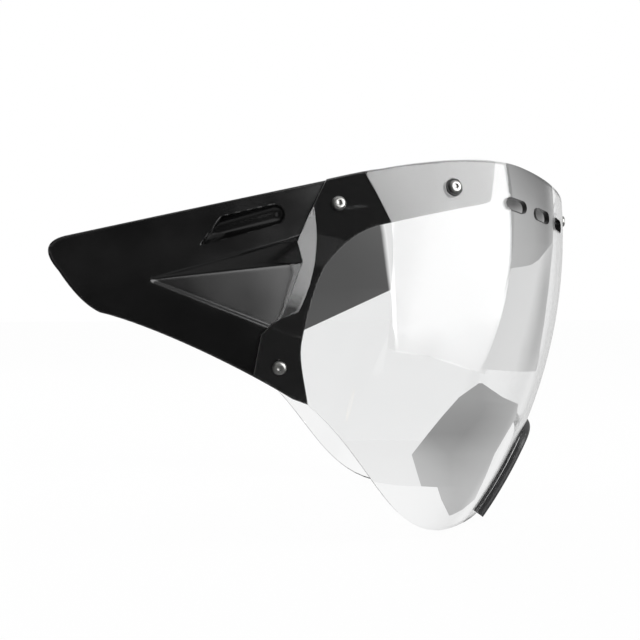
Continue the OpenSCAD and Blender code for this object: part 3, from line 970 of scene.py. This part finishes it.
def card(name, rows, levels, sees, faces_to=None):
    """A stage card from rows of 3-D points, with a strength at each point. sees is the kinds of ray that meet
    it, and only the side that looks to faces_to shines."""
    wide = len(rows[0])
    mesh = bpy.data.meshes.new(name)
    mesh.from_pydata([tuple(spot) for row in rows for spot in row], [],
                     [(i * wide + j, i * wide + j + 1, (i + 1) * wide + j + 1, (i + 1) * wide + j)
                      for i in range(len(rows) - 1) for j in range(wide - 1)])
    attribute = mesh.attributes.new("level", "FLOAT", "POINT")
    attribute.data.foreach_set("value", [level for row in levels for level in row])
    centre = sum((vert.co for vert in mesh.vertices), Vector()) / len(mesh.vertices)
    if mesh.polygons[0].normal.dot((faces_to or camera_spot) - centre) < 0:
        mesh.flip_normals()
    obj = bpy.data.objects.new(name, mesh)
    bpy.context.collection.objects.link(obj)
    obj.data.materials.append(card_glow)
    for kind in ("camera", "diffuse", "glossy", "transmission", "volume_scatter", "shadow"):
        setattr(obj, f"visible_{kind}", kind in sees)
    return obj


def soft_box(name, edges, columns, sees, shares=None):
    """A box from rows of a left and a right direction, with (share across, strength) columns, and a share
    of the strength for each row."""
    rows = [[toward(*between(left, right, u, u)) for u, level in columns] for left, right in edges]
    levels = [[level * share for u, level in columns] for share in shares or [1] * len(rows)]
    return card(name, rows, levels, sees, MIDDLE)


# %% [markdown]
# The world is white for the camera and for what is seen straight through the lens. To reflections, also
# those inside the lens, it is a dim room with a bright ceiling and a pale wall behind the visor, so that
# gloss black stays black from the side and still shows its form.

# %% World
world = bpy.data.worlds.new("studio")
bpy.context.scene.world = world
world.use_nodes = True
sky = world.node_tree
sky.nodes.clear()


def straight_view(tree):
    """Two values: 1 for the camera and what it sees through the lens, and 1 for all before a reflection."""
    paths = new_node(tree, "LightPath")
    unbounced = reckoner(tree, "LESS_THAN")
    through_lens = reckoner(tree, "MULTIPLY")
    seen = reckoner(tree, "MAXIMUM")
    wire(tree, (paths.outputs["Glossy Depth"], unbounced.inputs[0]),
         (paths.outputs["Is Transmission Ray"], through_lens.inputs[0]),
         (unbounced.outputs[0], through_lens.inputs[1]),
         (paths.outputs["Is Camera Ray"], seen.inputs[0]), (through_lens.outputs[0], seen.inputs[1]))
    return seen.outputs[0], unbounced.outputs[0]


def grey_ramp(tree, stops):
    """A ramp of greys through (place, level) stops."""
    ramp_node = new_node(tree, "ValToRGB")
    elements = ramp_node.color_ramp.elements
    for i, (place, level) in enumerate(stops):
        stop = elements[i] if i < 2 else elements.new(place)
        stop.position = place
        stop.color = (level, level, level, 1)
    return ramp_node


sky_out = new_node(sky, "OutputWorld")
seen, unbounced = straight_view(sky)
white = new_node(sky, "Background", Color=(1, 1, 1, 1))
room = new_node(sky, "Background", Color=(1, 1, 1, 1))
pick = new_node(sky, "MixShader")
way_of = new_node(sky, "TexCoord")
axes = new_node(sky, "SeparateXYZ")
across_room = new_node(sky, "MapRange", From_Min=-1)
WALL_STOPS = ((0.0, 0.08), (0.3, 0.1), (0.55, 0.25), (0.68, 0.35), (0.76, 0.75), (1.0, 0.75))
wall = grey_ramp(sky, WALL_STOPS)
height = new_node(sky, "MapRange", From_Min=-1)
ABOVE_STOPS = ((0.0, 0.4), (0.1, 0.4), (0.3, 0.0), (0.8, 0.0), (0.9, 0.9), (1.0, 0.9))
above = grey_ramp(sky, ABOVE_STOPS)
lighter = reckoner(sky, "MAXIMUM")
wire(sky,
     (way_of.outputs["Generated"], axes.inputs[0]), (axes.outputs["X"], across_room.inputs["Value"]),
     (across_room.outputs["Result"], wall.inputs["Fac"]), (axes.outputs["Z"], height.inputs["Value"]),
     (height.outputs["Result"], above.inputs["Fac"]),
     (wall.outputs["Color"], lighter.inputs[0]), (above.outputs["Color"], lighter.inputs[1]),
     (lighter.outputs["Value"], room.inputs["Strength"]),
     (seen, pick.inputs[0]), (room.outputs[0], pick.inputs[1]), (white.outputs[0], pick.inputs[2]),
     (pick.outputs[0], sky_out.inputs["Surface"]))
print("world nodes:", len(sky.nodes))

# %% [markdown]
# The floor is one big plane just under the visor. It glows almost fully where it is seen directly, so the
# ground stays white with only a faint shadow, and it is left out of every reflection.

# %% Floor
FLOOR_GLOW = 0.97
bpy.ops.object.select_all(action="DESELECT")
bpy.ops.mesh.primitive_plane_add(size=12, location=(0, 0, -0.0012))
floor = bpy.context.object
floor.name = "floor"
ground = bpy.data.materials.new("floor_white")
ground.use_nodes = True
tree = ground.node_tree
plain = tree.nodes["Principled BSDF"]
plain.inputs["Base Color"].default_value = (0.85, 0.85, 0.85, 1)
plain.inputs["Roughness"].default_value = 0.8
seen, unbounced = straight_view(tree)
share = new_node(tree, "MapRange", To_Max=FLOOR_GLOW)
bright = new_node(tree, "Emission")
blend = new_node(tree, "MixShader")
gone = new_node(tree, "BsdfTransparent")
kept = new_node(tree, "MixShader")
wire(tree, (seen, share.inputs["Value"]), (share.outputs["Result"], blend.inputs[0]),
     (plain.outputs[0], blend.inputs[1]), (bright.outputs[0], blend.inputs[2]),
     (unbounced, kept.inputs[0]), (gone.outputs[0], kept.inputs[1]), (blend.outputs[0], kept.inputs[2]),
     (kept.outputs[0], tree.nodes["Material Output"].inputs["Surface"]))
floor.data.materials.append(ground)
floor.visible_glossy = False
print("floor size:", tuple(floor.dimensions))

# %% [markdown]
# The main soft box stands in front of the wearer's right and makes the big white patch on the side of the
# lens, and a small box behind lights the planed facet of the lens. The boxes and cards only count before the
# second wall of the lens, so that no bright patch bounces back from the far side.

# %% Soft boxes
SHINE = ("glossy", "transmission")
BOX_EDGES = [((19, 36), (74, 36)), ((18, 27), (74, 27)), ((17, 16), (74.3, 16)), ((14, 0), (75, 3)),
             ((13, -9), (73, -7)), ((13, -15), (67, -20))]
BOX_COLUMNS, BOX_SHARES = [(0, 4.3), (0.06, 5.3), (0.3, 5.9), (1, 5.8)], [1, 1, 1, 1, 0.9, 0.15]
FACET_EDGES, FACET_COLUMNS = [((-34, 24), (-13, 24)), ((-34, -15), (-13, -15))], [(0, 0.75), (1, 0.75)]
boxes = [soft_box("soft_box", BOX_EDGES, BOX_COLUMNS, SHINE, BOX_SHARES),
         soft_box("facet_light", FACET_EDGES, FACET_COLUMNS, SHINE)]
print("soft boxes:", [box.name for box in boxes])

# %% [markdown]
# ## Cards
# The grey shade and reflections seen through the clear sheet are painted: each card is a glowing sheet seen
# only through the lens, and its strengths paint the grey there. The cards stand just inside the near wall,
# where they also keep the far arm out of the picture, and the last one, which shows in the vent slots alone,
# paints their shade. A card is a few rows from top to bottom. Each row has its height in the picture, or one
# height for each place, then its places across and the strength of the light at each.

# %% Cards seen through the lens
REAR_CARD = (
    (150, (285, 330, 372, 377), (0.1, 0.11, 0.13, 1)),
    (215, (285, 340, 377, 382.5), (0.09, 0.11, 0.13, 1)),
    (235, (285, 345, 380.5, 386), (0.09, 0.1, 0.12, 1)),
    (262, (285, 345, 384, 389), (0.085, 0.09, 0.105, 1)),
    ((288, 288, 288, 287), (285, 350, 387.6, 391.5), (0.085, 0.09, 0.1, 1)),
    ((338.5, 308.5, 290.9, 289.2), (285, 350, 388, 391.7), (0.1, 0.1, 0.11, 1)))
WHITE_CARD = (
    (150, (377, 391.5, 394, 450, 509), (0.85, 0.8, 0.5, 0.44, 0.28)),
    (185, (380, 391.5, 394, 450, 512), (0.85, 0.8, 0.5, 0.44, 0.28)),
    (215, (382.5, 391.5, 394, 450, 514.5), (0.85, 0.85, 0.52, 0.46, 0.42)),
    (235, (386, 391.5, 394, 450, 514), (0.85, 0.85, 0.52, 0.46, 0.42)),
    (262, (389, 391.7, 394, 450, 512), (0.85, 0.85, 0.52, 0.46, 0.42)),
    (291, (391.7, 393.2, 395.5, 450, 507), (0.85, 0.85, 0.52, 0.46, 0.42)),
    (322, (389.5, 394.5, 397, 450, 499), (0.85, 0.85, 0.54, 0.5, 0.48)),
    ((335, 335, 335, 338, 340), (388, 395, 398, 450, 494), (0.85, 0.85, 0.64, 0.62, 0.6)),
    ((347, 350, 350.5, 361, 374), (387, 396, 399, 450, 484), (0.84,) * 5))
LOBE_CARD = (
    (440, (336, 380, 430), (0.88,) * 3),
    ((480, 484.5, 486), (366, 395, 425), (0.9,) * 3))
DARK_CARD = (
    (383, (478.5, 480, 482), (0.37, 0.37, 0.37)),
    (397, (458.7, 480, 502.3), (0.37, 0.36, 0.4)),
    (404, (452.5, 485, 518.3), (0.35, 0.34, 0.45)),
    (417, (441, 480, 516.5), (0.32, 0.31, 0.45)),
    (433, (428, 465, 506.8), (0.3, 0.29, 0.44)),
    (454, (411.5, 450, 494.3), (0.5, 0.38, 0.5)),
    (477, (418.3, 450, 485), (0.54, 0.48, 0.54)),
    (485.5, (421, 450, 481), (0.54, 0.5, 0.56)),
    (486.5, (437, 455, 480.5), (0.54, 0.52, 0.56)),
    (499, (441, 457, 474.6), (0.56, 0.54, 0.56)),
    ((515, 514, 509), (448.8, 452, 462), (0.53, 0.53, 0.53)))
FRONT_CARD = (
    (150, (505, 530, 549.5), (0.34, 0.16, 0.1)),
    (166, (506.9, 530, 549.5), (0.36, 0.18, 0.1)),
    (193, (511, 532, 549.5), (0.44, 0.3, 0.13)),
    (216, (512.7, 532, 549.7), (0.5, 0.42, 0.18)),
    (243, (512, 532, 549.2), (0.52, 0.46, 0.26)),
    (248, (511.8, 530, 545.8), (0.52, 0.48, 0.34)),
    (260, (510, 525, 536.7), (0.52, 0.5, 0.42)),
    ((268.6, 267, 265.3), (509.4, 520, 529), (0.52, 0.5, 0.48)))
PALE_ACROSS = (0.74, 0.78, 0.8, 0.62, 0.34)
PALE_CARD = (
    ((269, 265.5, 259.5, 248.3, 243.3), (509.4, 529, 538, 545.8, 549.6), PALE_ACROSS),
    ((291, 290, 289.5, 289, 288), (504.4, 525, 532, 538, 545.4), PALE_ACROSS),
    ((324, 324, 324, 323, 322), (496, 515, 525, 533, 541), PALE_ACROSS),
    (350, (487, 505, 517, 527, 536), PALE_ACROSS),
    ((368.6, 370, 371, 371, 370), (479, 500, 513, 524, 533.6), PALE_ACROSS))
VENT_ACROSS = (503, 514, 522, 531, 541, 547, 551)
VENT_CARD = (
    (196, VENT_ACROSS, (0.12, 0.08, 0.06, 0.06, 0.05, 0.05, 0.05)),
    (205, VENT_ACROSS, (0.16, 0.13, 0.18, 0.1, 0.08, 0.08, 0.08)),
    (214, VENT_ACROSS, (0.24, 0.36, 0.42, 0.12, 0.14, 0.3, 0.3)),
    (228, VENT_ACROSS, (0.3, 0.4, 0.5, 0.25, 0.4, 0.55, 0.55)))
# These cards glow with painted shade and painted reflection for the lens.
PAINTED_LENS_CARDS = (
    ("card_rear", -0.07, REAR_CARD, "transmission"), ("card_white", -0.058, WHITE_CARD, "transmission"),
    ("card_low", -0.03, LOBE_CARD, "transmission"), ("card_blob", -0.036, DARK_CARD, "transmission"),
    ("card_front", -0.06, FRONT_CARD, "transmission"), ("card_below", -0.06, PALE_CARD, "transmission"),
    ("card_slots", -0.0555, VENT_CARD, "camera"))
for name, beyond, rows, kind in PAINTED_LENS_CARDS:
    spots = []
    for height, across, strengths in rows:
        heights = height if isinstance(height, tuple) else (height,) * len(across)
        spots.append([through(px, py, beyond) for px, py in zip(across, heights)])
    card(name, spots, [strengths for height, across, strengths in rows], (kind,))
print("cards:", [name for name, beyond, rows, kind in PAINTED_LENS_CARDS])

# %% [markdown]
# Two lamps light the visor and the floor evenly. A third one, kept to the arms, shows the duct's floor.

# %% Lamps


def area_lamp(name, spot, size, power, aim):
    """A square lamp at a spot, turned to its aim."""
    bpy.ops.object.light_add(type="AREA", location=spot)
    lamp = bpy.context.object
    lamp.name = name
    lamp.data.size = size
    lamp.data.energy = power
    lamp.rotation_euler = (aim - Vector(spot)).to_track_quat("-Z", "Y").to_euler()
    return lamp


EVEN_LAMPS = (("key", (-0.5, -0.6, 0.9), 0.5, 5), ("fill", (0.7, 0.5, 0.8), 0.6, 4))
for name, spot, size, power in EVEN_LAMPS:
    lamp = area_lamp(name, spot, size, power, Vector((0, 0, 0.08)))
    lamp.visible_glossy = lamp.visible_transmission = False

arms_only = bpy.data.collections.new("arms_only")
for piece in (arm, twin):
    arms_only.objects.link(piece)
duct_middle = WORN @ Vector((-HALF_W, 70, -12))
duct_lamp_spot = duct_middle + toward(12, 50, 1.0) - MIDDLE
lamp = area_lamp("duct_lamp", duct_lamp_spot, 0.22, 0.22, duct_middle)
lamp.light_linking.receiver_collection = arms_only
lamp.visible_transmission = False
print("lamps:", [light.name for light in bpy.data.lights])
